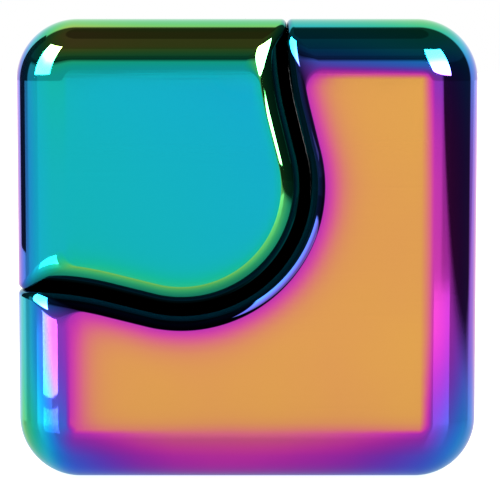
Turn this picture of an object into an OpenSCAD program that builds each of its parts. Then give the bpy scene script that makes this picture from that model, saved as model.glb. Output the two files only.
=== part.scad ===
// Magnetic desk sculpture: a rounded cube in two pieces that magnets hold together.
// The lobe fills the upper left of the cube, and the L-shaped elbow wraps round it.
// The front faces -Y. Both pieces keep one section through the whole depth.

/* [Cube] */
// Width and height of the cube
side = 60; // [56:1:66]
// Depth of the cube, front to back
depth = 60; // [56:1:66]
// Corner radius in the front view
corner_r = 8; // [7:0.5:10]
// Rounding of the outer edges, front and back
edge_r = 6.6; // [4:0.2:6.8]

/* [Joint between the pieces] */
// Distance from the cube's middle to the nose arc's centre, along X and along Z
nose_c = 8.5; // [8:0.1:9]
// Radius of the nose arc
nose_r = 16.7; // [16:0.1:17.5]
// Angle between a flank and the square of the cube
flank_a = 14; // [10:1:16]
// Length of the straight part of a flank
flank_len = 5.8; // [4:0.2:6.4]
// Radius of the flare that turns a flank square to the outside
flare_r = 40; // [30:1:42]
// Gap between the two pieces
gap = 0.3; // [0.2:0.05:0.4]
// Rounding of the lobe's edges along the joint
lobe_edge_r = 5.2; // [3:0.2:6]
// Rounding of the elbow's edges along the joint
elbow_edge_r = 2.4; // [1.6:0.2:4]
// Small radius where the joint meets the outside, halfway through the depth
mouth_r = 0.7; // [0.5:0.1:1]
// How fast that radius grows towards the front and the back, per mm of edge rounding
mouth_grow = 0.25; // [0:0.05:0.3]

/* [Castings and covers] */
// Wall of a casting at the outside
wall = 3; // [2.5:0.5:4]
// Wall of a casting at the front and the back
face_wall = 6; // [6:0.5:8]
// Half width of the hollow, across the diagonal
hollow_half = 20.5; // [20:0.25:20.75]
// Thickness of a cover
cover_t = 4; // [3.5:0.25:4.5]
// Clearance round a cover in its casting
cover_clear = 0.1; // [0.05:0.05:0.2]

/* [Magnets and keepers] */
// Magnet diameter
magnet_d = 8; // [6:0.5:8]
// Magnet thickness
magnet_t = 4; // [3:0.5:4]
// Metal left between a lobe magnet and the joint
lobe_skin = 1.4; // [1.2:0.1:1.6]
// Metal left between an elbow magnet and the joint
elbow_skin = 0.9; // [0.8:0.1:1.2]
// Distance from the middle to a nose magnet, along the depth
nose_magnet_y = 8; // [6:0.5:8]
// Distance from the middle to a flank magnet, along the depth
flank_magnet_y = 10; // [8:0.5:11]
// Width of a keeper strip
keeper_w = 7; // [6:0.5:7]
// Thickness of a keeper strip
keeper_t = 1.5; // [1:0.25:1.5]

/* [Screws] */
// Shank diameter
screw_d = 3; // [2.5:0.5:3]
// Shank length
screw_len = 12; // [10:1:13]
// Head diameter
head_d = 5.5; // [5:0.5:5.5]
// Head height
head_h = 1.8; // [1.4:0.1:1.8]
// Distance from the middle to a screw, along the depth
screw_y = 19; // [18:0.5:19]

/* [Hidden] */

// Which side of the joint a piece lies on: the lobe is inside the nose arc, the elbow outside
LOBE = -1;
ELBOW = 1;
// Directions from the nose arc's centre to the nose and to the two flanks
NOSE_A = -45;
UPPER_A = 0;
LOWER_A = -90;

half = side / 2;
lobe_teal = "darkturquoise";
elbow_orange = "sandybrown";
magnet_grey = "lightgray";
steel = "slategray";

// Steps along each arc of an outline, and round an edge
nose_steps = 13;
flare_steps = 4;
mouth_steps = 5;
corner_steps = 5;
edge_steps = 7;
// Least distance between the last ring of the outer edge and the first one of the joint
ring_space = 0.2;

// Centre of the upper flare
flare_x = -nose_c + (nose_r + flare_r) * cos(flank_a) - flank_len * sin(flank_a);
flare_z = nose_c + (nose_r + flare_r) * sin(flank_a) + flank_len * cos(flank_a);

// Details of the covers and the bosses
pocket_d = magnet_d + 0.2;
pad_w = magnet_d + 2;
pad_end = 2;
head_sink = 2.2;
head_clear_d = head_d + 0.5;
shank_clear_d = screw_d + 0.2;
thread_d = screw_d + 0.1;
boss_w = 8;
boss_len = 14;
boss_y = 15;
boss_clear = 0.05;
slot_w = 0.8;
slot_d = 0.9;
cover_half = depth / 2 - face_wall - cover_clear;
// How far past the cube's middle the hollow strips run, to open through the joint
lobe_open = 11;
elbow_open = 28;
// How far a cut or a foot runs past the surface that it meets
over = 1;
skins = [lobe_skin, elbow_skin];

// A value for the lobe or the elbow out of a pair
function pick(pair, who) = who == LOBE ? pair[0] : pair[1];

// A point on a circle, in the front view
function on_arc(cx, cz, r, a) = [cx + r * cos(a), cz + r * sin(a)];

// Mirror of a front-view point about the diagonal
function across(pt) = [-pt[1], -pt[0]];

// Half an outline, from the nose to the far outer corner, with the outer walls inset by d_out and the
// joint by d_in
function half_outline(who, d_out, d_in) =
    let (
        grow = who * (gap / 2 + d_in),
        arc_r = nose_r + grow,
        rim_r = flare_r - grow,
        tip_r = mouth_r + mouth_grow * max(d_out, 0),
        tip_z = half - d_out - tip_r,
        reach_r = rim_r - who * tip_r,
        turn = asin(max(0, flare_z - tip_z) / reach_r),
        tip_x = flare_x - reach_r * cos(turn),
        tip_from = who == LOBE ? turn : 180 + turn,
        out_r = corner_r - d_out,
        out_c = half - corner_r
    )
    concat(
        [for (i = [0:nose_steps])
            let (a = NOSE_A + (flank_a - NOSE_A) * i / nose_steps)
            on_arc(-nose_c, nose_c, arc_r, a)],
        [for (i = [0:flare_steps])
            let (a = 180 + flank_a + (turn - flank_a) * i / flare_steps)
            on_arc(flare_x, flare_z, rim_r, a)],
        [for (i = [1:mouth_steps])
            on_arc(tip_x, tip_z, tip_r, tip_from + (90 - tip_from) * i / mouth_steps)],
        who == LOBE
            ? [for (i = [0:corner_steps])
                on_arc(-out_c, out_c, out_r, 90 + 45 * i / corner_steps)]
            : concat(
                [for (i = [0:2 * corner_steps])
                    on_arc(out_c, out_c, out_r, 90 - 45 * i / corner_steps)],
                [for (i = [0:corner_steps])
                    on_arc(out_c, -out_c, out_r, -45 * i / corner_steps)])
    );

// The whole outline: the half and its mirror, joined at the nose and at the far corner
function outline(who, d_out, d_in) =
    let (h = half_outline(who, d_out, d_in), n = len(h))
    concat(h, [for (i = [n - 2:-1:1]) across(h[i])]);

// How far an edge of radius r has drawn in at a distance s behind the face
function drawn_in(r, s) = s < r ? r - sqrt(r * r - (r - s) * (r - s)) : 0;

// One ring of a rounded prism, at a distance s behind the front face or ahead of the back one
function ring(who, joint_r, s, sign) =
    [for (pt = outline(who, drawn_in(edge_r, s), drawn_in(joint_r, s)))
        [pt[0], sign * (depth / 2 - s), half + pt[1]]];

// Distances behind a face at which a piece has a ring: the outer edge's steps, then the joint's finer ones
function levels(joint_r) =
    let (steps = [for (i = [0:edge_steps]) 1 - sin(90 * i / edge_steps)])
    concat([for (k = steps) if (edge_r * k > joint_r + ring_space) edge_r * k], joint_r * steps);

// Prism with the piece's outline, rounded at the front and at the back
module rounded_prism(who, joint_r) {
    depths = levels(joint_r);
    rings = concat(
        [for (i = [len(depths) - 1:-1:0]) ring(who, joint_r, depths[i], -1)],
        [for (s = depths) ring(who, joint_r, s, 1)]);
    n = len(rings[0]);
    last = len(rings) - 1;
    points = [for (one = rings) each one];
    sides = [for (k = [0:last - 1], i = [0:n - 1])
        let (j = (i + 1) % n, a = k * n, b = a + n)
        each [[a + i, a + j, b + j], [a + i, b + j, b + i]]];
    // The caps start at the far corner, where the outline is convex
    front = [for (i = [n:-1:1]) (n / 2 + i) % n];
    back = [for (i = [0:n - 1]) last * n + (n / 2 + i) % n];
    faces = concat(sides, [front, back]);
    turned = [for (f = faces) [for (i = [len(f) - 1:-1:0]) f[i]]];
    polyhedron(points, who == LOBE ? faces : turned, convexity = 6);
}

// Front-view shape swept along the depth, half_y to each side of the middle
module through(half_y) {
    translate([0, half_y, half])
        rotate([90, 0, 0])
            linear_extrude(height = 2 * half_y, convexity = 6)
                children();
}

// Stands a child at the nose arc's centre, with its +X pointing out at angle a
module at_arc(a) {
    translate([-nose_c, 0, half + nose_c])
        rotate([0, -a, 0])
            children();
}

// Copies a child to +y and -y
module both_y(y) {
    for (s = [-1, 1])
        translate([0, s * y, 0])
            children();
}

// Round bar along X between x0 and x1
module bar(d, x0, x1) {
    translate([min(x0, x1), 0, 0])
        rotate([0, 90, 0])
            cylinder(h = abs(x1 - x0), d = d, $fn = 48);
}

// Block along X between x0 and x1, centred on Y and Z
module block(x0, x1, wy, wz) {
    translate([min(x0, x1), -wy / 2, -wz / 2])
        cube([abs(x1 - x0), wy, wz]);
}

// Place along X at a depth t behind the joint
function behind(who, t) = nose_r + who * (gap / 2 + t);

// Front-view point at u across the diagonal and v along it, towards the lower right
function diagonal(u, v) = [(u + v) / sqrt(2), (u - v) / sqrt(2)];

// Strip across which both castings are hollow, open towards the joint
module hollow_strip(who, half_w) {
    inner = half - wall;
    run = half_w * sqrt(2);
    polygon(who == LOBE
        ? [[-inner, inner], [-inner, inner - run], diagonal(-half_w, lobe_open),
            diagonal(half_w, lobe_open), [run - inner, inner]]
        : [[inner, -inner], [inner, run - inner], diagonal(half_w, -elbow_open),
            diagonal(-half_w, -elbow_open), [inner - run, -inner]]);
}

// Plan of a piece, with the joint inset by d_in and the outer walls pushed out
module plan(who, d_in, d_out) {
    polygon(outline(who, d_out, d_in));
}

// Bosses that take the cover screws, rising from the front and the back wall. The lobe's end in a chord
// of its cover's round back.
module bosses(who) {
    back = behind(who, cover_t + boss_clear);
    near = who == LOBE ? sqrt(back * back - boss_w * boss_w / 4) : back;
    far = behind(who, cover_t + boss_len);
    web = depth / 2 - face_wall - boss_y + over;
    at_arc(NOSE_A)
        both_y(boss_y + web / 2)
            block(near, far, web, boss_w);
}

// Holes that the cover screws thread into
module thread_holes(who) {
    near = behind(who, cover_t - over);
    far = behind(who, cover_t + boss_len - over);
    at_arc(NOSE_A)
        both_y(screw_y)
            bar(thread_d, near, far);
}

// Hollow casting
module shell(who, joint_r) {
    difference() {
        rounded_prism(who, joint_r);
        difference() {
            through(depth / 2 - face_wall)
                hollow_strip(who, hollow_half);
            bosses(who);
        }
        thread_holes(who);
    }
}

// Row of two magnets behind the joint
module magnet_row(who, a, y) {
    near = behind(who, pick(skins, who));
    far = behind(who, pick(skins, who) + magnet_t);
    at_arc(a)
        both_y(y)
            bar(magnet_d, near, far);
}

// Pockets for a row of magnets, open at the back of the pad
module pocket_row(who, a, y) {
    near = behind(who, pick(skins, who));
    far = behind(who, pick(skins, who) + magnet_t + over);
    at_arc(a)
        both_y(y)
            bar(pocket_d, near, far);
}

// Flat pad behind the joint that the pockets are sunk in
module pad(who, a, y) {
    near = behind(who, cover_t - over);
    far = behind(who, pick(skins, who) + magnet_t);
    at_arc(a)
        block(near, far, 2 * y + magnet_d + 2 * pad_end, pad_w);
}

// Steel strip across the backs of a row of magnets
module keeper(who, a, y) {
    near = behind(who, pick(skins, who) + magnet_t);
    far = behind(who, pick(skins, who) + magnet_t + keeper_t);
    at_arc(a)
        block(near, far, 2 * y + magnet_d, keeper_w);
}

// Curved plate that closes a casting and is its mating face
module cover(who) {
    difference() {
        union() {
            intersection() {
                through(cover_half)
                    difference() {
                        plan(who, 0, 0);
                        plan(who, cover_t, -wall);
                    }
                through(cover_half + over)
                    hollow_strip(who, hollow_half - cover_clear);
            }
            pad(who, NOSE_A, nose_magnet_y);
            pad(who, UPPER_A, flank_magnet_y);
            pad(who, LOWER_A, flank_magnet_y);
        }
        pocket_row(who, NOSE_A, nose_magnet_y);
        pocket_row(who, UPPER_A, flank_magnet_y);
        pocket_row(who, LOWER_A, flank_magnet_y);
        at_arc(NOSE_A)
            both_y(screw_y) {
                bar(head_clear_d, behind(who, -over), behind(who, head_sink));
                bar(shank_clear_d, behind(who, 0), behind(who, cover_t + over));
            }
    }
}

// Cheese-head screws, one near each end of the cover
module screws(who) {
    seat = behind(who, head_sink);
    top = behind(who, head_sink - head_h);
    tip = behind(who, head_sink + screw_len);
    at_arc(NOSE_A)
        both_y(screw_y)
            difference() {
                union() {
                    bar(head_d, top, seat);
                    bar(screw_d, seat, tip);
                }
                block(top, top + who * slot_d, slot_w, head_d + over);
            }
}

module lobe_shell() {
    color(lobe_teal)
        shell(LOBE, lobe_edge_r);
}

module lobe_cover() {
    color(lobe_teal)
        cover(LOBE);
}

module lobe_nose_magnets() {
    color(magnet_grey)
        magnet_row(LOBE, NOSE_A, nose_magnet_y);
}

module lobe_upper_magnets() {
    color(magnet_grey)
        magnet_row(LOBE, UPPER_A, flank_magnet_y);
}

module lobe_lower_magnets() {
    color(magnet_grey)
        magnet_row(LOBE, LOWER_A, flank_magnet_y);
}

module lobe_nose_keeper() {
    color(steel)
        keeper(LOBE, NOSE_A, nose_magnet_y);
}

module lobe_upper_keeper() {
    color(steel)
        keeper(LOBE, UPPER_A, flank_magnet_y);
}

module lobe_lower_keeper() {
    color(steel)
        keeper(LOBE, LOWER_A, flank_magnet_y);
}

module lobe_screws() {
    color(steel)
        screws(LOBE);
}

module elbow_shell() {
    color(elbow_orange)
        shell(ELBOW, elbow_edge_r);
}

module elbow_cover() {
    color(elbow_orange)
        cover(ELBOW);
}

module elbow_nose_magnets() {
    color(magnet_grey)
        magnet_row(ELBOW, NOSE_A, nose_magnet_y);
}

module elbow_upper_magnets() {
    color(magnet_grey)
        magnet_row(ELBOW, UPPER_A, flank_magnet_y);
}

module elbow_lower_magnets() {
    color(magnet_grey)
        magnet_row(ELBOW, LOWER_A, flank_magnet_y);
}

module elbow_nose_keeper() {
    color(steel)
        keeper(ELBOW, NOSE_A, nose_magnet_y);
}

module elbow_upper_keeper() {
    color(steel)
        keeper(ELBOW, UPPER_A, flank_magnet_y);
}

module elbow_lower_keeper() {
    color(steel)
        keeper(ELBOW, LOWER_A, flank_magnet_y);
}

module elbow_screws() {
    color(steel)
        screws(ELBOW);
}

lobe_shell();
lobe_cover();
lobe_nose_magnets();
lobe_upper_magnets();
lobe_lower_magnets();
lobe_nose_keeper();
lobe_upper_keeper();
lobe_lower_keeper();
lobe_screws();
elbow_shell();
elbow_cover();
elbow_nose_magnets();
elbow_upper_magnets();
elbow_lower_magnets();
elbow_nose_keeper();
elbow_upper_keeper();
elbow_lower_keeper();
elbow_screws();
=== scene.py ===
"""Looks of a magnetic desk sculpture: a rounded cube in two mirror-coated castings.

The lobe fills the upper left of the cube and the L-shaped elbow wraps round it. Both castings are hollow
and open towards the joint between them, where a curved plate closes each one. Every length is in metres,
in the frame of the CAD model: +Z up, the front towards -Y, the origin under the middle of the cube.
"""

import logging
import math
from collections.abc import Callable
from dataclasses import dataclass, field, replace
from enum import Enum

import bmesh
import bpy
import numpy as np
from mathutils import Matrix, Vector
from mathutils.geometry import delaunay_2d_cdt


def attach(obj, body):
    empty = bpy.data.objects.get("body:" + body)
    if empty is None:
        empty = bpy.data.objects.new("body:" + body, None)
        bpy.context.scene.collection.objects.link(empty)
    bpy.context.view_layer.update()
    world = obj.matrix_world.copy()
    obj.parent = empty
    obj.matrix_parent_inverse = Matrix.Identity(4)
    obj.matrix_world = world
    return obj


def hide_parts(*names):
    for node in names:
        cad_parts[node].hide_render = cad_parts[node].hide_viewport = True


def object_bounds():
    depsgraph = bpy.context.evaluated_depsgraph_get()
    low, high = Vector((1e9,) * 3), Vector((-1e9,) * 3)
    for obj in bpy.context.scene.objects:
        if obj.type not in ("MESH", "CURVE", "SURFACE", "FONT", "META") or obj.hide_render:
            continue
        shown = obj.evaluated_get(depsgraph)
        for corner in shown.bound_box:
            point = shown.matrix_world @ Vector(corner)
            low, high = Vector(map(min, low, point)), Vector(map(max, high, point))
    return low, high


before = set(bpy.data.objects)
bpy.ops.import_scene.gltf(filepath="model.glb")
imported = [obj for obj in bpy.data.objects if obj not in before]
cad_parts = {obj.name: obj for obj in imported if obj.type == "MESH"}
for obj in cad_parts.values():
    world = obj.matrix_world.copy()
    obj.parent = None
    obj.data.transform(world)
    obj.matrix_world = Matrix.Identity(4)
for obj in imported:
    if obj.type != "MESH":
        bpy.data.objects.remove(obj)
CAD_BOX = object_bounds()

LOG = logging.getLogger("sculpture")
MM = 0.001


class Part(Enum):
    """The two pieces. The value says on which side of the joint a piece lies."""

    LOBE = -1
    ELBOW = 1


class Side(Enum):
    """The way that a point of a wall faces, in the front view."""

    RIGHT = (1.0, 0.0)
    TOP = (0.0, 1.0)
    LEFT = (-1.0, 0.0)
    BOTTOM = (0.0, -1.0)


# ---------------------------------------------------------------------------------------------------
# Outline of the pieces
# ---------------------------------------------------------------------------------------------------


def bow(cx: float, cz: float, r: float, angles: object, sense: float, outside: object) -> np.ndarray:
    """Points of one arc in the front view.

    Args:
        cx: X of the arc's centre.
        cz: Height of its centre above the cube's middle.
        r: Its radius.
        angles: Angles of the points.
        sense: 1 where the metal is inside the arc, -1 where it is outside.
        outside: Share at each point, from 0 on the joint to 1 on the outer walls.

    Returns:
        Rows of x, height, outward direction as x and height, and share.
    """
    a = np.atleast_1d(np.asarray(angles, dtype=float))
    return np.stack([cx + r * np.cos(a), cz + r * np.sin(a), sense * np.cos(a), sense * np.sin(a),
                     np.broadcast_to(outside, a.shape).astype(float)], axis=1)


@dataclass(frozen=True)
class Outline:
    """The plan of one piece in the front view, made of arcs that share their tangents.

    Every inset of the plan has the same number of points, so insets stack into rings.
    """

    part: Part
    half: float
    corner_r: float = 8.0 * MM
    nose_c: float = 8.5 * MM
    nose_r: float = 16.7 * MM
    flank_a: float = math.radians(14.0)
    flank_len: float = 5.8 * MM
    flare_r: float = 40.0 * MM
    gap: float = 0.05 * MM
    mouth_r: float = 0.7 * MM
    mouth_grow: float = 0.25
    nose_steps: int = 48
    flare_steps: int = 10
    mouth_steps: int = 14
    corner_steps: int = 16
    wall_steps: int = 14

    @property
    def flare(self) -> tuple[float, float]:
        """Centre of the upper flare, as x and as height above the cube's middle."""
        reach = self.nose_r + self.flare_r
        return (-self.nose_c + reach * math.cos(self.flank_a) - self.flank_len * math.sin(self.flank_a),
                self.nose_c + reach * math.sin(self.flank_a) + self.flank_len * math.cos(self.flank_a))

    def window_share(self, strip: float) -> float:
        """Share of the flare, from the flank outwards, that lies within a strip along the diagonal.

        Args:
            strip: Half width of the strip.
        """
        rim_r = self.flare_r - self.part.value * self.gap / 2
        along = (math.sqrt(2) * strip - sum(self.flare)) / (math.sqrt(2) * rim_r)
        turn = math.radians(45) + math.acos(along) - math.pi
        return (self.flank_a - turn) / self.flank_a

    def half_points(self, d_out: float, d_in: float, split: float) -> np.ndarray:
        """Half of the plan, from the nose to the far outer corner.

        Args:
            d_out: Inset of the outer walls.
            d_in: Inset of the joint.
            split: Share of the flare at which its points are divided in two lots.

        Returns:
            Rows of x, height, outward direction as x and height, and share from joint to outside.
        """
        who = self.part.value
        flare_x, flare_z = self.flare
        grow = who * (self.gap / 2 + d_in)
        rim_r = self.flare_r - grow
        tip_r = self.mouth_r + self.mouth_grow * d_out
        tip_z = self.half - d_out - tip_r
        reach = rim_r - who * tip_r
        turn = math.asin(max(0.0, flare_z - tip_z) / reach)
        tip_x = flare_x - reach * math.cos(turn)
        out_r = self.corner_r - d_out
        out_c = self.half - self.corner_r
        shares = np.concatenate([np.linspace(0, split, self.flare_steps + 1),
                                 np.linspace(split, 1, self.flare_steps // 2 + 1)[1:]])
        start = turn if self.part is Part.LOBE else math.pi + turn
        round_tip = np.linspace(0, 1, self.mouth_steps + 1)[1:]
        runs = [
            bow(-self.nose_c, self.nose_c, self.nose_r + grow,
                np.linspace(-math.pi / 4, self.flank_a, self.nose_steps + 1), -who, 0.0),
            bow(flare_x, flare_z, rim_r, math.pi + self.flank_a + (turn - self.flank_a) * shares, who, 0.0),
            bow(tip_x, tip_z, tip_r, start + (math.pi / 2 - start) * round_tip, 1.0, round_tip),
        ]
        quarter = np.linspace(0, math.pi / 4, self.corner_steps + 1)
        if self.part is Part.LOBE:
            corners = [bow(-out_c, out_c, out_r, math.pi / 2 + quarter, 1.0, 1.0)]
        else:
            whole = np.linspace(math.pi / 2, 0, 2 * self.corner_steps + 1)
            corners = [bow(out_c, out_c, out_r, whole, 1.0, 1.0),
                       bow(out_c, -out_c, out_r, -quarter, 1.0, 1.0)]
        for corner in corners:
            runs += [self.straight(runs[-1][-1], corner[0]), corner]
        return np.concatenate(runs)

    def straight(self, start: np.ndarray, end: np.ndarray) -> np.ndarray:
        """Rows along a straight wall, close together near its ends, where the coat changes colour."""
        shares = 0.5 - 0.5 * np.cos(np.linspace(0, math.pi, self.wall_steps + 1)[1:-1, None])
        rows = start + (end - start) * shares
        rows[:, 2:] = end[2:]
        return rows

    def points(self, d_out: float, d_in: float, strip: float) -> np.ndarray:
        """The whole plan: the half, then its mirror in the diagonal, as rows like those of bow.

        Args:
            d_out: Inset of the outer walls.
            d_in: Inset of the joint.
            strip: Half width of the opening for the plate.
        """
        one = self.half_points(d_out, d_in, self.window_share(strip))
        return np.concatenate([one, mirrored(one)[1:-1]])


def mirrored(rows: np.ndarray) -> np.ndarray:
    """Rows of an outline mirrored in the diagonal, in the opposite order."""
    return np.stack([-rows[:, 1], -rows[:, 0], -rows[:, 3], -rows[:, 2], rows[:, 4]], axis=1)[::-1]


@dataclass(frozen=True)
class Edge:
    """The rounding of one edge, from the face to the wall.

    Attributes:
        radius: How far it reaches over the face and down the wall.
        power: 2 for a round edge; less gives a flatter bevel that turns sharply at its two ends.
    """

    radius: float
    power: float = 2.0

    def to_wall(self, s: float) -> float:
        """Share of the radius, out from the face's rim, that the edge reaches at a distance s behind the face."""
        down = max(0.0, 1 - s / self.radius)
        return (1 - down ** self.power) ** (1 / self.power)

    def drawn_in(self, s: float) -> float:
        """How far the edge has drawn in from the wall at a distance s behind the face."""
        return self.radius * (1 - self.to_wall(s))

    def tilt(self, s: float) -> float:
        """Share of a quarter turn by which it has turned away from the face at a distance s behind it."""
        down = max(1e-9, 1 - s / self.radius)
        return math.atan((self.to_wall(s) / down) ** (self.power - 1)) / (math.pi / 2)

    def depths(self, steps: int) -> list[float]:
        """Distances behind the face at which rings show its curve well."""
        return [self.radius * (1 - math.cos(math.pi / 2 * i / steps) ** (2 / self.power))
                for i in range(steps + 1)]


# ---------------------------------------------------------------------------------------------------
# Shader node groups
# ---------------------------------------------------------------------------------------------------


class Net:
    """Shorthand for adding nodes to one node tree."""

    def __init__(self, tree: bpy.types.NodeTree) -> None:
        """Works on that tree."""
        self.tree = tree

    def feed(self, node: bpy.types.Node, inputs: dict[str | int, object]) -> None:
        """Sets a node's inputs to values, or links them to other nodes' outputs."""
        for name, value in inputs.items():
            if isinstance(value, bpy.types.NodeSocket):
                self.tree.links.new(value, node.inputs[name])
            else:
                node.inputs[name].default_value = value

    def node(self, kind: str, inputs: dict[str | int, object] | None = None,
             **settings: object) -> bpy.types.Node:
        """Adds a node and returns it.

        Args:
            kind: Its type, without the ShaderNode in front.
            inputs: A value or another node's output for each of its inputs, by name or place.
            settings: Its properties.
        """
        made = self.tree.nodes.new("ShaderNode" + kind)
        for name, value in settings.items():
            setattr(made, name, value)
        self.feed(made, inputs or {})
        return made

    def math(self, operation: str, *values: object) -> bpy.types.NodeSocket:
        """Adds a math node fed by numbers or outputs, and returns its output."""
        return self.node("Math", dict(enumerate(values)), operation=operation).outputs[0]

    def mix(self, kind: str, factor: object, a: object, b: object) -> bpy.types.NodeSocket:
        """Mixes two numbers, where kind is FLOAT, or two colours, where it is RGBA."""
        return self.node("Mix", {"Factor": factor, "A": a, "B": b}, data_type=kind).outputs["Result"]

    def remap(self, value: object, limits: tuple[float, ...], way: str = "LINEAR") -> bpy.types.NodeSocket:
        """Maps a value from one range to another.

        Args:
            value: The output that is mapped.
            limits: Least and most of the range that it comes from, then of the one that it goes to.
            way: LINEAR or SMOOTHSTEP.
        """
        inputs = dict(zip(("Value", "From Min", "From Max", "To Min", "To Max"), (value, *limits)))
        return self.node("MapRange", inputs, interpolation_type=way).outputs["Result"]

    def noise(self, inputs: dict[str, object], **settings: object) -> bpy.types.NodeSocket:
        """Adds a noise with those inputs and properties, and returns its value."""
        return self.node("TexNoise", inputs, **settings).outputs["Fac"]

    def place(self, space: str = "Object") -> bpy.types.NodeSocket:
        """Where a point is, in the object's space, or which way it lies (Generated) in the world."""
        return self.node("TexCoord").outputs[space]

    def group(self, name: str, **inputs: object) -> bpy.types.NodeOutputs:
        """Adds one of the shader groups, fed by its inputs' names, and returns its outputs."""
        return self.node("Group", inputs, node_tree=Groups.get(name)).outputs


class Group(Net):
    """A shader node group in the making."""

    def __init__(self, name: str, inputs: dict[str, float], outputs: dict[str, str]) -> None:
        """Starts a group with its sockets.

        Args:
            name: Its name.
            inputs: Its number inputs, with their defaults.
            outputs: Its outputs, each Float or Color.
        """
        super().__init__(bpy.data.node_groups.new(name, "ShaderNodeTree"))
        add = self.tree.interface.new_socket
        for label, value in inputs.items():
            add(label, in_out="INPUT", socket_type="NodeSocketFloat").default_value = value
        for label, kind in outputs.items():
            add(label, in_out="OUTPUT", socket_type="NodeSocket" + kind)
        self.read = self.tree.nodes.new("NodeGroupInput").outputs
        self.exit = self.tree.nodes.new("NodeGroupOutput")

    def put(self, **outs: bpy.types.NodeSocket) -> bpy.types.NodeTree:
        """Sends values out of the group, by its outputs' names, and returns the finished group."""
        self.feed(self.exit, outs)
        return self.tree


class Surface(Net):
    """A material in the making."""

    def __init__(self, name: str) -> None:
        """Starts a material of that name."""
        self.material = bpy.data.materials.new(name)
        self.material.use_nodes = True
        super().__init__(self.material.node_tree)

    def shade(self, inputs: dict[str, object]) -> None:
        """Feeds the material's shader with values or outputs."""
        self.feed(self.tree.nodes["Principled BSDF"], inputs)


def srgb(red: int, green: int, blue: int) -> tuple[float, float, float, float]:
    """A display colour, 0 to 255, as linear RGBA."""
    def linear(value: float) -> float:
        """One channel, from display to linear."""
        return value / 12.92 if value <= 0.04045 else ((value + 0.055) / 1.055) ** 2.4
    return (linear(red / 255), linear(green / 255), linear(blue / 255), 1.0)


# Colours of the coat in the order in which they follow as it thickens, from 0 to 1
COAT_COLOURS = (
    (0.00, srgb(230, 172, 72)),
    (0.07, srgb(222, 142, 90)),
    (0.14, srgb(222, 92, 136)),
    (0.21, srgb(206, 44, 178)),
    (0.27, srgb(152, 40, 178)),
    (0.33, srgb(108, 58, 196)),
    (0.39, srgb(62, 92, 210)),
    (0.45, srgb(20, 120, 214)),
    (0.50, srgb(0, 146, 212)),
    (0.56, srgb(0, 178, 208)),
    (0.63, srgb(0, 182, 174)),
    (0.71, srgb(0, 192, 132)),
    (0.79, srgb(98, 204, 92)),
    (0.86, srgb(186, 190, 78)),
    (0.93, srgb(222, 168, 120)),
    (1.00, srgb(232, 158, 206)),
)

# Painted shade: the near-black colour that the coat is painted deep in the joint groove
PAINTED_SHADE = (0.0012, 0.0016, 0.0040, 1.0)


def coat_group() -> bpy.types.NodeTree:
    """Interference colour of a thin hard coat.

    Inputs: Thickness, from 0 to 1; Drift, how far slow clouds move it; Seed, which clouds; and a share of
    painted shade, 1 where the coat is painted near black deep in the joint groove.
    Output: Color.
    """
    group = Group("interference_coat", {"Thickness": 0.5, "Drift": 0.03, "Seed": 0.0, "Tarnish": 0.0},
                  {"Color": "Color"})
    clouds = group.noise({"Vector": group.place(), "W": group.read["Seed"], "Scale": 34.0, "Detail": 3.0,
                          "Roughness": 0.45}, noise_dimensions="4D")
    lean = group.math("MULTIPLY", group.math("SUBTRACT", clouds, 0.5), 2.0)
    thick = group.math("ADD", group.read["Thickness"], group.math("MULTIPLY", lean, group.read["Drift"]))
    ramp = group.node("ValToRGB", {"Fac": thick})
    ramp.color_ramp.interpolation = "B_SPLINE"
    stops = ramp.color_ramp.elements
    while len(stops) < len(COAT_COLOURS):
        stops.new(0.5)
    for stop, (at, _) in zip(stops, COAT_COLOURS):
        stop.position = at
    for stop, (_, colour) in zip(stops, COAT_COLOURS):
        stop.color = colour
    # Painted shade: the colour goes to near black where the painted-shade input is 1
    return group.put(Color=group.mix("RGBA", group.read["Tarnish"], ramp.outputs["Color"], PAINTED_SHADE))


def polish_group() -> bpy.types.NodeTree:
    """The trace that a polishing wheel leaves on metal.

    Inputs: Ripple, height of the slow waviness; Scratch, height of the hairlines; Base and Haze, the
    roughness of the clean metal and of the hazy patches.
    Outputs: Height, for a Bump node, and Roughness.
    """
    group = Group("wheel_polish", {"Ripple": 0.4, "Scratch": 0.1, "Base": 0.03, "Haze": 0.04},
                  {"Height": "Float", "Roughness": "Float"})
    place = group.place()

    def layer(scale: float, detail: float, stretch: tuple = (1, 1, 1), turn: tuple = (0, 0, 0)) -> object:
        """Noise laid over the piece at a scale, stretched along its axes and turned."""
        laid = group.node("Mapping", {"Vector": place, "Scale": stretch, "Rotation": turn})
        return group.noise({"Vector": laid.outputs["Vector"], "Scale": scale, "Detail": detail})

    ripple = group.math("MULTIPLY", layer(55.0, 1.0), group.read["Ripple"])
    hairlines = group.math("POWER", layer(900.0, 2.0, stretch=(0.06, 1.0, 1.4), turn=(0.3, 0.5, 0.2)), 6.0)
    scratch = group.math("MULTIPLY", hairlines, group.read["Scratch"])
    haze = group.math("MULTIPLY", group.math("POWER", layer(190.0, 4.0), 3.0), group.read["Haze"])
    return group.put(Height=group.math("ADD", ripple, scratch),
                     Roughness=group.math("ADD", haze, group.read["Base"]))


class Groups:
    """The shader groups, each built once when it is first asked for."""

    built: dict[str, bpy.types.NodeTree] = {}

    @classmethod
    def get(cls, name: str) -> bpy.types.NodeTree:
        """The group of that name."""
        makers = {"coat": coat_group, "polish": polish_group, "softbox": softbox_group}
        if name not in cls.built:
            cls.built[name] = makers[name]()
        return cls.built[name]


# ---------------------------------------------------------------------------------------------------
# Finishes
# ---------------------------------------------------------------------------------------------------


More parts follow.
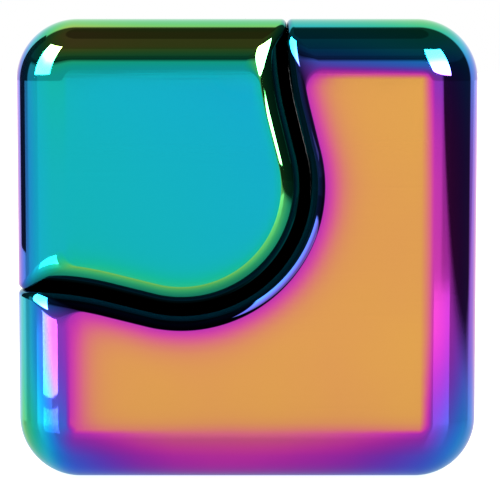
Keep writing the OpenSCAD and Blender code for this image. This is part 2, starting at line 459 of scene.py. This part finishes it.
@dataclass(frozen=True)
class Metal:
    """A polished metal with the marks of its polishing.

    Attributes:
        name: The material's name.
        colour: Linear base colour, where no coat gives it.
        roughness: Roughness of the clean metal.
        haze: Roughness that hazy patches add.
        ripple: Height of the slow waviness.
        scratch: Height of the hairlines.
        bump: Distance that the heights stand for.
        gloss: Weight of the clear layer over it, which gives the lights white edges.
    """

    name: str
    colour: tuple[float, float, float, float] = (0.7, 0.7, 0.72, 1.0)
    roughness: float = 0.03
    haze: float = 0.05
    ripple: float = 0.5
    scratch: float = 0.12
    bump: float = 0.02 * MM
    gloss: float = 0.0

    def material(self) -> bpy.types.Material:
        """Builds the material."""
        net = Surface(self.name)
        polish = net.group("polish", Ripple=self.ripple, Scratch=self.scratch, Base=self.roughness,
                           Haze=self.haze)
        bump = net.node("Bump", {"Height": polish["Height"], "Strength": 1.0, "Distance": self.bump})
        net.shade({"Metallic": 1.0, "Base Color": self.colour, "Coat Weight": self.gloss,
                   "Roughness": polish["Roughness"], "Normal": bump.outputs["Normal"]})
        self.paint(net)
        return net.material

    def paint(self, net: Surface) -> None:
        """Feeds the base colour. A bare metal keeps one colour with a faint cloud in it."""
        darker = tuple(0.82 * channel for channel in self.colour[:3]) + (1.0,)
        clouds = net.noise({"Vector": net.place(), "Scale": 300.0})
        net.shade({"Base Color": net.mix("RGBA", clouds, self.colour, darker)})


@dataclass(frozen=True)
class Rainbow(Metal):
    """A mirror-polished metal under an interference coat, whose thickness each mesh carries.

    Attributes:
        drift: How far slow clouds move the thickness.
        seed: Which clouds the piece has.
        thickness: Even thickness of the coat on a mesh that carries none.
    """

    drift: float = 0.03
    seed: float = 0.0
    thickness: float | None = None

    def paint(self, net: Surface) -> None:
        """Feeds the base colour from the coat's thickness and its painted shade in the joint groove, and thins
        the gloss where that shade is painted.
        """
        coat = {"Drift": self.drift, "Seed": self.seed, "Thickness": self.thickness}
        if self.thickness is None:
            thick, tarnish = (net.node("Attribute", attribute_name=name).outputs["Fac"]
                              for name in (Coat.LAYER, Coat.PAINTED_SHADE))
            coat |= {"Thickness": thick, "Tarnish": tarnish}
            # Painted shade: the clear gloss thins where the groove is painted dark, so no highlight shows there
            net.shade({"Coat Weight": net.math("MULTIPLY_ADD", tarnish, -self.gloss, self.gloss)})
        net.shade({"Base Color": net.group("coat", **coat)["Color"]})


@dataclass(frozen=True)
class Band:
    """How the coat changes across one edge, from the face round to the wall.

    Attributes:
        halo: Width of the change of colour on the face.
        steps: Thickness at each of the edge's stations.
    """

    STATIONS = (0.0, 0.05, 0.15, 0.3, 0.5, 0.7, 0.85, 1.0)
    FALL = 1.3

    halo: float
    steps: tuple[float, ...]

    def near(self, inward: float) -> float:
        """How strongly the edge is felt on the face at a distance from its rim, from 1 down to 0."""
        return math.exp(-(max(0.0, inward) / self.halo) ** self.FALL)

    def round_edge(self, turned: float) -> float:
        """Thickness at a share of the quarter turn from the face to the wall."""
        return float(np.interp(turned, self.STATIONS, self.steps))


def blend(bands: dict[Side, Band], facing: tuple[float, float], read: Callable[[Band], float]) -> float:
    """A reading of the bands of the sides that a point faces, mixed by how squarely it faces each."""
    shares = {side: max(0.0, facing[0] * side.value[0] + facing[1] * side.value[1]) ** 2 for side in bands}
    total = sum(shares.values())
    if total < 1e-6:
        return read(next(iter(bands.values())))
    return sum(read(bands[side]) * share for side, share in shares.items()) / total


@dataclass(frozen=True)
class Coat:
    """How thick the coat lies on one piece, on the scale of the colours.

    Attributes:
        face: Thickness in the middle of the front and of the back.
        lean: How much it grows from the cube's middle to its right and to its top.
        outer: The band of each outer side that the piece has.
        joint: The band along the joint, by the way that it faces.
        seat: Thickness on the mating face.
        painted_shade_steps: Painted shade at each station of the joint's edge, from 0 to 1: how dark the coat is
            painted deep in the groove.
        corners: Extra thickness at corners of the cube, by the signs of x and of height.
        corner_reach: How far that extra reaches from the corner.
    """

    LAYER = "coat"
    # Name of the mesh layer that carries the painted shade deep in the joint groove
    PAINTED_SHADE = "tarnish"

    face: float
    lean: tuple[float, float]
    outer: dict[Side, Band]
    joint: dict[Side, Band]
    seat: float
    painted_shade_steps: tuple[float, ...]
    corners: dict[tuple[int, int], float]
    corner_reach: float = 13.0 * MM

    def extra(self, x: float, z: float, half: float) -> float:
        """Extra thickness near the corners of the cube, at x and a height above its middle."""
        total = 0.0
        for (right, up), extra in self.corners.items():
            away = math.hypot(x - right * half, z - up * half)
            total += extra * math.exp(-(away / self.corner_reach) ** 2)
        return total

    def on_edge(self, place: tuple[float, float], facing: tuple[float, float], half: float, outside: float,
                turned: float) -> float:
        """Thickness on a rounded edge or a wall.

        Args:
            place: X and height above the cube's middle.
            facing: X and height of the wall's outward direction.
            half: Half of the cube's side.
            outside: 0 on the joint, 1 on the outer walls.
            turned: 0 at the face, 1 on the wall.
        """
        joint, outer = (blend(bands, facing, lambda band: band.round_edge(turned))
                        for bands in (self.joint, self.outer))
        return joint + (outer - joint) * outside + self.extra(*place, half)

    def tarnish(self, outside: float, turned: float) -> float:
        """Painted shade on an edge: how dark the coat is painted, on the joint (outside 0) or on the outer walls
        (1), turned by a share. Only the joint's edge is painted dark.
        """
        return (1 - outside) * float(np.interp(turned, Band.STATIONS, self.painted_shade_steps))

    def on_face(self, place: tuple[float, float], half: float, edge_r: float, to_joint: float,
                facing: tuple[float, float]) -> float:
        """Thickness on a face.

        Args:
            place: X and height above the cube's middle.
            half: Half of the cube's side.
            edge_r: Rounding of the outer edges.
            to_joint: Distance from the face's rim along the joint.
            facing: The way that the joint faces there.
        """
        x, z = place
        pulls = [(band.steps[0], band.near(half - edge_r - x * side.value[0] - z * side.value[1]))
                 for side, band in self.outer.items()]
        pulls.append((blend(self.joint, facing, lambda band: band.steps[0]),
                      blend(self.joint, facing, lambda band: band.near(to_joint))))
        free = math.prod(1 - near for _, near in pulls)
        rim = sum(step * near for step, near in pulls) / max(sum(near for _, near in pulls), 1e-9)
        open_face = self.face + self.lean[0] * x / half + self.lean[1] * z / half
        return open_face * free + rim * (1 - free)


# ---------------------------------------------------------------------------------------------------
# Meshes
# ---------------------------------------------------------------------------------------------------


class Shape:
    """Points and faces of a closed mesh in the making, each point with its coat, its painted shade and its exact
    direction.
    """

    FACING = "facing"

    def __init__(self) -> None:
        """Starts an empty shape."""
        self.points: list[tuple[float, float, float]] = []
        self.coat: list[float] = []
        self.tarnish: list[float] = []
        self.facing: list[tuple[float, float, float]] = []
        self.faces: list[list[int]] = []

    def add(self, point: tuple, coat: float = 0.5, facing: tuple = (0.0, 0.0, 0.0),
            tarnish: float = 0.0) -> int:
        """Adds one point and returns its index."""
        self.points.append(tuple(point))
        self.coat.append(float(coat))
        self.tarnish.append(tarnish)
        self.facing.append(tuple(facing))
        return len(self.points) - 1

    def build(self, name: str) -> bpy.types.Object:
        """Makes the mesh object, its faces turned outwards, and links it to the scene."""
        mesh = bpy.data.meshes.new(name)
        mesh.from_pydata(self.points, [], self.faces)
        mesh.attributes.new(Coat.LAYER, "FLOAT", "POINT").data.foreach_set("value", self.coat)
        mesh.attributes.new(Coat.PAINTED_SHADE, "FLOAT", "POINT").data.foreach_set("value", self.tarnish)
        flat = [c for facing in self.facing for c in facing]
        mesh.attributes.new(self.FACING, "FLOAT_VECTOR", "POINT").data.foreach_set("vector", flat)
        shape = bmesh.new()
        shape.from_mesh(mesh)
        bmesh.ops.recalc_face_normals(shape, faces=shape.faces)
        shape.to_mesh(mesh)
        shape.free()
        made = bpy.data.objects.new(name, mesh)
        bpy.context.scene.collection.objects.link(made)
        return made


def carve(piece: bpy.types.Object, tool: Shape, operation: str) -> None:
    """Adds a tool's volume to a piece, or takes it away.

    Args:
        piece: The piece that changes.
        tool: The closed volume.
        operation: UNION or DIFFERENCE.
    """
    cutter = tool.build("cutter")
    step = piece.modifiers.new("carve", "BOOLEAN")
    step.operation = operation
    step.solver = "EXACT"
    step.object = cutter
    with bpy.context.temp_override(object=piece, active_object=piece):
        bpy.ops.object.modifier_apply(modifier=step.name)
    bpy.data.objects.remove(cutter)


def shade(piece: bpy.types.Object, limit: float = 35.0) -> None:
    """Gives a piece the exact directions of its smooth surfaces, so that it mirrors without facets.

    Args:
        piece: The piece.
        limit: Degrees past which a face keeps its own direction at a point.
    """
    mesh = piece.data
    least = math.cos(math.radians(limit))
    facing = [Vector(item.vector) for item in mesh.attributes[Shape.FACING].data]
    normals = [Vector((0, 0, 1))] * len(mesh.loops)
    for polygon in mesh.polygons:
        polygon.use_smooth = True
        flat = polygon.normal.copy()
        for loop in polygon.loop_indices:
            exact = facing[mesh.loops[loop].vertex_index]
            normals[loop] = exact.normalized() if exact.dot(flat) > least else flat
    mesh.attributes.remove(mesh.attributes[Shape.FACING])
    mesh.normals_split_custom_set([tuple(n) for n in normals])


def dress(node: str, finish: Metal) -> None:
    """Gives a CAD node that keeps its shape a finish."""
    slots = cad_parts[node].data.materials
    slots.clear()
    slots.append(finish.material())
    LOG.info("%s keeps its CAD shape", node)


@dataclass
class Casting:
    """One hollow casting, and the finish of the curved cover that closes it along the joint.

    Attributes:
        part: Which piece it is.
        coat: How thick the coat lies on it.
        finish: The mirror finish.
        joint_edge: Rounding of the edges along the joint.
        outer_edge: Rounding of the outer edges.
        wall: Wall at the outside.
        face_wall: Wall at the front and the back.
        strip: Half width of the hollow, across the diagonal.
        plate_t: Thickness of the plate.
        screw_y: Distance from the middle to a screw, along the depth.
    """

    part: Part
    coat: Coat
    finish: Rainbow
    joint_edge: Edge
    outer_edge: Edge = Edge(6.6 * MM)
    wall: float = 3.0 * MM
    face_wall: float = 6.0 * MM
    strip: float = 20.5 * MM
    plate_t: float = 4.0 * MM
    screw_y: float = 19.0 * MM
    edge_steps: int = 20
    halo_rows: tuple[float, ...] = (0.3 * MM, 0.7 * MM, 1.2 * MM, 1.8 * MM, 2.6 * MM, 3.6 * MM, 5.0 * MM)
    face_grid: float = 0.9 * MM
    outline: Outline = field(init=False)
    half: float = field(init=False)
    depth_half: float = field(init=False)

    def __post_init__(self) -> None:
        """Takes the cube's size from the CAD model."""
        low, high = (Vector(corner) for corner in CAD_BOX)
        self.half = (high.z - low.z) / 2
        self.depth_half = (high.y - low.y) / 2
        self.outline = Outline(self.part, self.half)

    @property
    def name(self) -> str:
        """The piece's name, which is also its body's."""
        return self.part.name.lower()

    def levels(self) -> list[float]:
        """Distances behind a face of the rings of its half, from the face to near the middle."""
        wanted = sorted(self.outer_edge.depths(self.edge_steps) + self.joint_edge.depths(self.edge_steps))
        least, fixed = 0.02 * MM, (self.face_wall, self.outer_edge.radius)
        kept = [0.0]
        for level in wanted:
            clear = all(abs(level - other) > 2 * least for other in fixed)
            if level - kept[-1] > least and clear:
                kept.append(level)
        return sorted(kept + list(fixed)) + [self.outer_edge.radius + d for d in self.halo_rows]

    def ring(self, shape: Shape, s: float, sign: int) -> list[int]:
        """Adds one ring of points at a distance s behind the front face (sign -1) or the back one (1)."""
        nudge = 1e-4 * math.sqrt(self.outer_edge.radius)
        root = math.sqrt(s)

        def plan(q: float) -> np.ndarray:
            """The plan at the depth whose root is q."""
            s = q * q
            return self.outline.points(self.outer_edge.drawn_in(s), self.joint_edge.drawn_in(s), self.strip)

        here = plan(root)
        low, high = max(root - nudge, 0.0), root + nudge
        spread = (plan(high)[:, :2] - plan(low)[:, :2]) / (high - low)
        swell = np.maximum((spread * here[:, 2:4]).sum(axis=1), 0.0)
        made = []
        for (x, z, nx, nz, outside), out in zip(here, swell):
            facing = Vector((nx * 2 * root, sign * out, nz * 2 * root)).normalized()
            turned = self.joint_edge.tilt(s) * (1 - outside) + self.outer_edge.tilt(s) * outside
            coat = self.coat.on_edge((x, z), (nx, nz), self.half, outside, turned)
            # Painted shade: how dark the coat is painted here, deep in the joint groove
            dark = self.coat.tarnish(outside, turned)
            made.append(shape.add((x, sign * (self.depth_half - s), self.half + z), coat, facing, dark))
        return made

    def cap(self, shape: Shape, rim: list[int], sign: int) -> None:
        """Closes a face with a fine net, so that the coat's change of colour along its rim shows.

        Args:
            shape: The shape in the making.
            rim: Indices of the face's rim.
            sign: -1 for the front face, 1 for the back one.
        """
        rows = self.outline.points(self.outer_edge.radius, self.joint_edge.radius, self.strip)
        edge = rows[:, :2]
        after = np.roll(edge, -1, axis=0)
        along = after - edge
        ticks = np.arange(-self.half, self.half, self.face_grid)
        net = np.array([(x, z) for x in ticks for z in ticks])
        gap = net[:, None, :] - edge[None]
        share = np.clip((gap * along).sum(axis=2) / np.maximum((along ** 2).sum(axis=1), 1e-12), 0, 1)
        away = np.linalg.norm(gap - share[..., None] * along, axis=2)
        inner = np.where(rows[:, 4] < 0.5, away, np.inf)
        crossed = ((edge[:, 1] > net[:, None, 1]) != (after[:, 1] > net[:, None, 1])) & (
            net[:, None, 0] < edge[:, 0] + along[:, 0] * (net[:, None, 1] - edge[:, 1])
            / np.where(along[:, 1] == 0, 1e-12, along[:, 1]))
        inside = (crossed.sum(axis=1) % 2 == 1) & (away.min(axis=1) > self.face_grid * 0.45)
        spots = np.flatnonzero(inside)
        coords = [Vector(p) for p in edge] + [Vector(net[i]) for i in spots]
        count = len(edge)
        loop = [(i, (i + 1) % count) for i in range(count)]
        _, _, faces, sources, _, _ = delaunay_2d_cdt(coords, loop, [], 1, 1e-9)
        index = {}
        for place, source in enumerate(sources):
            if source[0] < count:
                index[place] = rim[source[0]]
                continue
            spot = spots[source[0] - count]
            x, z = net[spot]
            nearest = inner[spot].argmin()
            coat = self.coat.on_face((x, z), self.half, self.outer_edge.radius, inner[spot][nearest],
                                     rows[nearest, 2:4])
            index[place] = shape.add((x, sign * self.depth_half, self.half + z), coat, (0.0, sign, 0.0))
        shape.faces += [[index[i] for i in face] for face in faces]

    def at_nose(self) -> Matrix:
        """Places a tool at the nose arc's centre, with its +X pointing along the diagonal at the elbow."""
        c = self.outline.nose_c
        return Matrix.Translation((-c, 0, self.half + c)) @ Matrix.Rotation(math.radians(45), 4, "Y")

    def behind(self, t: float) -> float:
        """Place along a tool's X at a depth t behind the joint."""
        return self.outline.nose_r + self.part.value * (self.outline.gap / 2 + t)

    def block(self, tool: Shape, place: Matrix, x: tuple[float, float], y: tuple[float, float],
              wide: float) -> None:
        """Adds a box to a tool, between two places along X and along Y, and that wide."""
        first = len(tool.points)
        for px in sorted(x):
            for py in sorted(y):
                for pz in (-wide / 2, wide / 2):
                    tool.add(place @ Vector((px, py, pz)))
        sides = ((0, 1, 3, 2), (4, 6, 7, 5), (0, 4, 5, 1), (2, 3, 7, 6), (0, 2, 6, 4), (1, 5, 7, 3))
        tool.faces += [[first + i for i in side] for side in sides]

    def rod(self, tool: Shape, place: Matrix, y: float, ends: list[float], radius: float) -> None:
        """Adds a cylinder along X to a tool, between two places along X and at one along Y."""
        steps = 48
        first = len(tool.points)
        last = first + steps
        for x in ends:
            for k in range(steps):
                a = 2 * math.pi * k / steps
                tool.add(place @ Vector((x, y + radius * math.cos(a), radius * math.sin(a))))
        for i in range(steps):
            j = (i + 1) % steps
            tool.faces.append([first + i, first + j, last + j, last + i])
        tool.faces += [list(range(first, last)), list(range(last, last + steps))[::-1]]

    def build_casting(self) -> bpy.types.Object:
        """The hollow casting: rounded outside, open for its plate, with two screw bosses inside."""
        shape = Shape()
        levels = self.levels()
        rings = [self.ring(shape, s, -1) for s in levels] + [self.ring(shape, s, 1) for s in reversed(levels)]
        count = len(rings[0])
        window = self.outline.nose_steps + 1 + self.outline.flare_steps
        open_columns = set(range(window)) | set(range(count - window, count))
        first = levels.index(self.face_wall)
        last = len(rings) - 1 - first
        for k, (near, far) in enumerate(zip(rings, rings[1:])):
            for i in range(count):
                if not (first <= k < last and i in open_columns):
                    j = (i + 1) % count
                    shape.faces.append([near[i], near[j], far[j], far[i]])
        self.cap(shape, rings[0], -1)
        self.cap(shape, rings[-1], 1)
        self.hollow(shape, rings[first:last + 1], window)
        made = shape.build(self.name + "_casting")
        self.add_bosses(made)
        shade(made)
        return made

    def hollow(self, shape: Shape, rings: list[list[int]], window: int) -> None:
        """Adds the inside of the casting behind the opening for the plate.

        Args:
            shape: The shape in the making.
            rings: The rings from one end of the opening to the other.
            window: Columns of the opening on each side of the nose.
        """
        inner = self.half - self.wall
        run = math.sqrt(2) * self.strip
        corners = [(-inner, inner - run), (-inner, inner), (run - inner, inner)]
        if self.part is Part.ELBOW:
            corners = [(inner - run, -inner), (inner, -inner), (inner, run - inner)]
        count = len(rings[0])
        chains = []
        for ring in (rings[0], rings[-1]):
            y = shape.points[ring[0]][1]
            far = [shape.add((x, y, self.half + z)) for x, z in corners]
            rim = ring[count - window:] + ring[:window + 1]
            shape.faces.append(rim + far[::-1])
            chains.append([rim[0], *far, rim[-1]])
        front, back = chains
        for k in range(len(front) - 1):
            face = [front[k], front[k + 1], back[k + 1], back[k]]
            if k == 0:
                face += [ring[count - window] for ring in reversed(rings[1:-1])]
            if k == len(front) - 2:
                face[2:2] = [ring[window] for ring in rings[1:-1]]
            shape.faces.append(face)

    def add_bosses(self, casting: bpy.types.Object) -> None:
        """Adds the bosses for the plate's screws, and drills them."""
        wide, length, start, spare, over = 8.0 * MM, 14.0 * MM, 15.0 * MM, 0.05 * MM, 1.0 * MM
        drill_r = 1.55 * MM
        place = self.at_nose()
        near = self.behind(self.plate_t + spare)
        if self.part is Part.LOBE:
            near = math.sqrt(near ** 2 - wide ** 2 / 4)
        far = self.behind(self.plate_t + length)
        end = self.depth_half - self.face_wall + over
        bosses, drills = Shape(), Shape()
        for side in (-1, 1):
            self.block(bosses, place, (near, far), (side * start, side * end), wide)
            ends = sorted((self.behind(self.plate_t - over), self.behind(self.plate_t + length - over)))
            self.rod(drills, place, side * self.screw_y, ends, drill_r)
        carve(casting, bosses, "UNION")
        carve(casting, drills, "DIFFERENCE")

    def build(self) -> bpy.types.Object:
        """Builds and dresses the casting that stands for the CAD one, and dresses its CAD cover."""
        casting = self.build_casting()
        casting.data.materials.append(self.finish.material())
        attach(casting, self.name)
        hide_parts(self.name + "_shell")
        self.name + "_coat"
        seat = replace(self.finish, name=self.name + "_seat_coat", thickness=self.coat.seat)
        dress(self.name + "_cover", seat)
        return casting


# ---------------------------------------------------------------------------------------------------
# Studio
# ---------------------------------------------------------------------------------------------------


def softbox_group() -> bpy.types.NodeTree:
    """A soft-edged rectangle of light in the studio's surround, all in degrees.

    Inputs: Azimuth and Elevation of a direction; West, East, Low and High, the light's limits; Edge, the
    width over which it fades. Output: Mask.
    """
    names = ("Azimuth", "Elevation", "West", "East", "Low", "High", "Edge")
    group = Group("softbox", dict.fromkeys(names, 1.0), {"Mask": "Float"})
    read = group.read
    masks = []
    for more, less in (("Azimuth", "West"), ("East", "Azimuth"), ("Elevation", "Low"), ("High", "Elevation")):
        inside = group.math("DIVIDE", group.math("SUBTRACT", read[more], read[less]), read["Edge"])
        masks.append(group.math("MINIMUM", group.math("MAXIMUM", group.math("ADD", inside, 0.5), 0.0), 1.0))
    wide = group.math("MULTIPLY", masks[0], masks[1])
    tall = group.math("MULTIPLY", masks[2], masks[3])
    return group.put(Mask=group.math("MULTIPLY", wide, tall))


@dataclass(frozen=True)
class Softbox:
    """One soft light of the surround. Azimuth 0 is straight in front of the object, and + is to its right.

    Attributes:
        west: Least azimuth in degrees.
        east: Greatest azimuth.
        low: Least elevation.
        high: Greatest elevation.
        strength: Brightness.
        edge: Degrees over which it fades.
    """

    west: float
    east: float
    low: float
    high: float
    strength: float
    edge: float = 3.0


@dataclass(frozen=True)
class Studio:
    """A pale seamless floor under a soft surround, and the camera.

    Attributes:
        boxes: The soft lights.
        dark: Brightness of the unlit part of the surround.
        backdrop: Brightness of the backdrop behind the object.
        backdrop_from: Where the backdrop starts and is full, as the share of a direction that points back.
        matt_limit: Most brightness of the surround that lights anything matt.
        lamp_limit: How much more of it one mirror shows.
        mirror_fade: How fast that falls with each further mirror in a row, as a power of their number.
        floor_light: Strength of the light on the floor.
        floor_glow: Brightness that the floor has in the metal on top of it, even in the object's shadow.
        floor_lift: The same towards the camera, so that it reads as white.
        floor_end: Where the lit floor starts to fade and is dark, to the right of the object.
        floor_slopes: How the fade's edge leans with the depth, in front of its corner and behind it.
        camera_far: Distance from the camera to the middle of the cube.
        camera_pitch: Degrees that the camera looks down.
        aim: What the camera looks at, off the middle of the cube, in x and height.
        lens: Focal length in millimetres, on a 36 mm sensor.
    """

    boxes: tuple[Softbox, ...]
    dark: float = 0.035
    backdrop: float = 1.05
    backdrop_from: tuple[float, float] = (0.33, 0.44)
    matt_limit: float = 1.0
    lamp_limit: float = 40.0
    mirror_fade: float = 5.0
    floor_light: float = 0.75
    floor_glow: float = 0.34
    floor_lift: float = 0.9
    floor_end: tuple[float, float] = (0.09, 0.20)
    floor_slopes: tuple[float, float] = (0.6, -1.2)
    camera_far: float = 0.30
    camera_pitch: float = 5.3
    aim: tuple[float, float] = (0.36 * MM, -2.32 * MM)
    lens: float = 151.8

    def build_world(self) -> None:
        """The surround: a white backdrop behind, a dim studio in front, and the soft lights."""
        world = bpy.data.worlds.new("studio")
        world.use_nodes = True
        bpy.context.scene.world = world
        net = Net(world.node_tree)
        x, y, z = net.node("SeparateXYZ", {0: net.place("Generated")}).outputs
        degrees = 180 / math.pi
        azimuth = net.math("MULTIPLY", net.math("ARCTAN2", x, net.math("MULTIPLY", y, -1.0)), degrees)
        elevation = net.math("MULTIPLY", net.math("ARCSINE", z), degrees)
        total = net.remap(y, (*self.backdrop_from, self.dark, self.backdrop), "SMOOTHSTEP")
        for box in self.boxes:
            limits = {name: getattr(box, name.lower()) for name in ("West", "East", "Low", "High", "Edge")}
            mask = net.group("softbox", Azimuth=azimuth, Elevation=elevation, **limits)["Mask"]
            total = net.math("MAXIMUM", total, net.math("MULTIPLY", mask, box.strength))
        path = net.node("LightPath").outputs
        clear = net.math("SUBTRACT", 1.0, net.math("MINIMUM", path["Diffuse Depth"], 1.0))
        lamps = net.math("MULTIPLY", net.math("MULTIPLY", clear, path["Is Glossy Ray"]), self.lamp_limit)
        mirrors = net.math("POWER", net.math("MAXIMUM", path["Glossy Depth"], 1.0), self.mirror_fade)
        limit = net.math("ADD", net.math("DIVIDE", lamps, mirrors), self.matt_limit)
        surround = net.math("MINIMUM", total, limit)
        plain = net.mix("FLOAT", path["Is Camera Ray"], surround, 1.0)
        net.feed(world.node_tree.nodes["Background"], {"Color": plain})

    def build_floor(self) -> None:
        """A pale floor with a faint gloss. It glows: to the camera evenly white, and in the metal with painted
        light that reaches into the object's shadow, fading to painted dark to the right of the object.
        """
        size = 6.0
        sheet = Shape()
        sheet.faces.append([sheet.add((x, y, -0.02 * MM)) for x, y in
                            ((-size, -size), (size, -size), (size, size), (-size, size))])
        floor = sheet.build("floor")
        net = Surface("pale_floor")
        camera = net.node("LightPath").outputs["Is Camera Ray"]
        x, y, _ = net.node("SeparateXYZ", {0: net.place()}).outputs
        right = net.math("MINIMUM", *(net.math("MULTIPLY_ADD", y, slope, x) for slope in self.floor_slopes))
        # Painted shade for the metal only: right of the object the floor's colour and glow fade to dark, while
        # the camera sees it lit
        lit = net.math("MAXIMUM", net.remap(right, (*self.floor_end, 1.0, 0.04), "SMOOTHSTEP"), camera)
        lift = net.mix("FLOAT", camera, self.floor_glow, self.floor_lift)
        tone = net.mix("RGBA", net.noise({"Scale": 40.0}), (0.93, 0.93, 0.93, 1.0), (0.97, 0.97, 0.97, 1.0))
        net.shade({"Roughness": 0.05, "Specular IOR Level": 0.25, "Emission Color": (1.0, 1.0, 1.0, 1.0),
                   "Emission Strength": net.math("MULTIPLY", lift, lit),
                   "Base Color": net.mix("RGBA", lit, (0.02, 0.02, 0.02, 1.0), tone)})
        floor.data.materials.append(net.material)

    def build_card(self, name: str, ends: tuple[tuple[float, float], tuple[float, float]],
                   heights: tuple[float, float], glow: tuple[float, float]) -> None:
        """A card that stands near the object, out of view, and that only its metal mirrors.

        Args:
            name: The card's name.
            ends: Its two upright edges, as x and y.
            heights: Its lower and upper edge.
            glow: Least and greatest brightness of its clouds.
        """
        card = Shape()
        low, high = heights
        corners = [(*ends[0], low), (*ends[1], low), (*ends[1], high), (*ends[0], high)]
        card.faces.append([card.add(corner) for corner in corners])
        sheet = card.build(name)
        net = Surface(name)
        strength = net.remap(net.noise({"Scale": 90.0}), (0.35, 0.65, *glow))
        net.shade({"Base Color": (0.01, 0.01, 0.01, 1.0), "Roughness": 0.9,
                   "Emission Color": (1.0, 0.95, 1.0, 1.0), "Emission Strength": strength})
        sheet.data.materials.append(net.material)
        sheet.visible_camera = False
        sheet.visible_diffuse = False
        sheet.visible_shadow = False

    def build_light(self) -> None:
        """An even light from above that brings the floor up to white, and that no metal mirrors."""
        lamp = bpy.data.lights.new("overhead", "SUN")
        lamp.energy = self.floor_light
        lamp.angle = math.radians(120)
        holder = bpy.data.objects.new("overhead", lamp)
        holder.visible_glossy = False
        bpy.context.scene.collection.objects.link(holder)

    def build_camera(self) -> None:
        """The camera, square to the front and slightly above the middle."""
        low, high = (Vector(corner) for corner in CAD_BOX)
        middle = (low + high) / 2
        pitch = math.radians(self.camera_pitch)
        camera = bpy.data.cameras.new("camera")
        camera.lens = self.lens
        camera.sensor_width = 36.0
        holder = bpy.data.objects.new("camera", camera)
        aim = middle + Vector((self.aim[0], 0, self.aim[1]))
        holder.location = aim + Vector((0, -math.cos(pitch), math.sin(pitch))) * self.camera_far
        holder.rotation_euler = (math.pi / 2 - pitch, 0, 0)
        bpy.context.scene.collection.objects.link(holder)
        bpy.context.scene.camera = holder

    def build(self) -> None:
        """Builds the whole studio."""
        scene = bpy.context.scene
        scene.view_settings.view_transform = "Standard"
        self.build_world()
        self.build_floor()
        self.build_card("white_card", ((-0.050, -0.092), (-0.083, -0.064)), (0.001, 0.019), (1.5, 12.0))
        self.build_card("black_card", ((-0.1485, 0.014), (-0.1340, 0.068)), (0.018, 0.200), (0.0, 0.03))
        self.build_light()
        self.build_camera()


def lobe_coat() -> Coat:
    """The lobe's coat: cyan on its face, and through green and olive over its top edge."""
    return Coat(
        face=0.580, lean=(-0.045, -0.045),
        outer={
            Side.TOP: Band(1.2 * MM, (0.60, 0.62, 0.70, 0.84, 0.85, 0.76, 0.72, 0.70)),
            Side.LEFT: Band(2.0 * MM, (0.60, 0.60, 0.60, 0.575, 0.49, 0.36, 0.22, 0.16)),
        },
        joint={
            Side.RIGHT: Band(0.6 * MM, (0.63, 0.70, 0.78, 0.76, 0.66, 0.60, 0.50, 0.50)),
            Side.BOTTOM: Band(1.3 * MM, (0.70, 0.80, 0.82, 0.74, 0.64, 0.50, 0.50, 0.50)),
        },
        seat=0.60,
        # Painted shade along the joint's edge, dark deep in the groove
        painted_shade_steps=(0.0, 0.0, 0.0, 0.1, 0.80, 1.0, 1.0, 1.0),
        corners={(-1, 1): 0.05},
    )


def elbow_coat() -> Coat:
    """The elbow's coat: orange on its face, and through magenta and violet to blue over its edges."""
    return Coat(
        face=0.03, lean=(-0.02, 0.0),
        outer={
            Side.RIGHT: Band(0.5 * MM, (0.12, 0.20, 0.215, 0.25, 0.31, 0.30, 0.20, 0.15)),
            Side.TOP: Band(0.3 * MM, (0.24, 0.33, 0.40, 0.50, 0.56, 0.62, 0.64, 0.64)),
            Side.LEFT: Band(2.4 * MM, (0.26, 0.275, 0.28, 0.38, 0.52, 0.60, 0.36, 0.16)),
            Side.BOTTOM: Band(1.1 * MM, (0.13, 0.145, 0.175, 0.215, 0.235, 0.27, 0.34, 0.40)),
        },
        joint={
            Side.LEFT: Band(2.2 * MM, (0.22, 0.26, 0.28, 0.32, 0.44, 0.56, 0.56, 0.56)),
            Side.TOP: Band(2.0 * MM, (0.22, 0.26, 0.28, 0.32, 0.44, 0.56, 0.56, 0.56)),
        },
        seat=0.50,
        # Painted shade along the joint's edge, dark deep in the groove
        painted_shade_steps=(0.0, 0.55, 0.92, 1.0, 0.9, 0.4, 1.0, 1.0),
        corners={(1, 1): 0.16, (1, -1): 0.22, (-1, -1): 0.24},
    )


def main() -> None:
    """Builds the sculpture and its studio."""
    logging.basicConfig(level=logging.INFO, format="%(name)s: %(message)s")
    studio = Studio(boxes=(
        Softbox(west=-70, east=32, low=-90, high=21, strength=0.63, edge=7),
        Softbox(west=-98, east=-60, low=-90, high=20, strength=0.45, edge=4),
        Softbox(west=-179, east=179, low=24, high=75, strength=0.07, edge=4),
        Softbox(west=-75, east=-37, low=8, high=52, strength=38.0, edge=1.5),
        Softbox(west=15, east=52, low=7, high=46, strength=38.0, edge=1.5),
        Softbox(west=-35, east=14, low=30, high=50, strength=0.10, edge=6),
    ))
    studio.build()
    castings = (
        Casting(Part.ELBOW, elbow_coat(), Rainbow("elbow_mirror_coat", gloss=0.18, drift=0.04, seed=5.0),
                joint_edge=Edge(1.8 * MM, 1.35)),
        Casting(Part.LOBE, lobe_coat(), Rainbow("lobe_mirror_coat", gloss=0.18, drift=0.02, seed=1.0),
                joint_edge=Edge(3.9 * MM, 1.35)),
    )
    for casting in castings:
        piece = casting.build()
        LOG.info("%s: %d points", piece.name, len(piece.data.vertices))
    bare = {
        "magnets": Metal("nickel_plate", colour=(0.62, 0.60, 0.56, 1.0), roughness=0.12, haze=0.1),
        "keeper": Metal("keeper_steel", colour=(0.38, 0.38, 0.39, 1.0), roughness=0.32, haze=0.2,
                        scratch=0.6),
        "screws": Metal("screw_steel", colour=(0.52, 0.52, 0.54, 1.0), roughness=0.2, haze=0.1, scratch=0.4),
    }
    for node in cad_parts:
        kind = node.rsplit("_", 1)[-1]
        if kind in bare:
            dress(node, bare[kind])


if __name__ == "__main__":
    main()
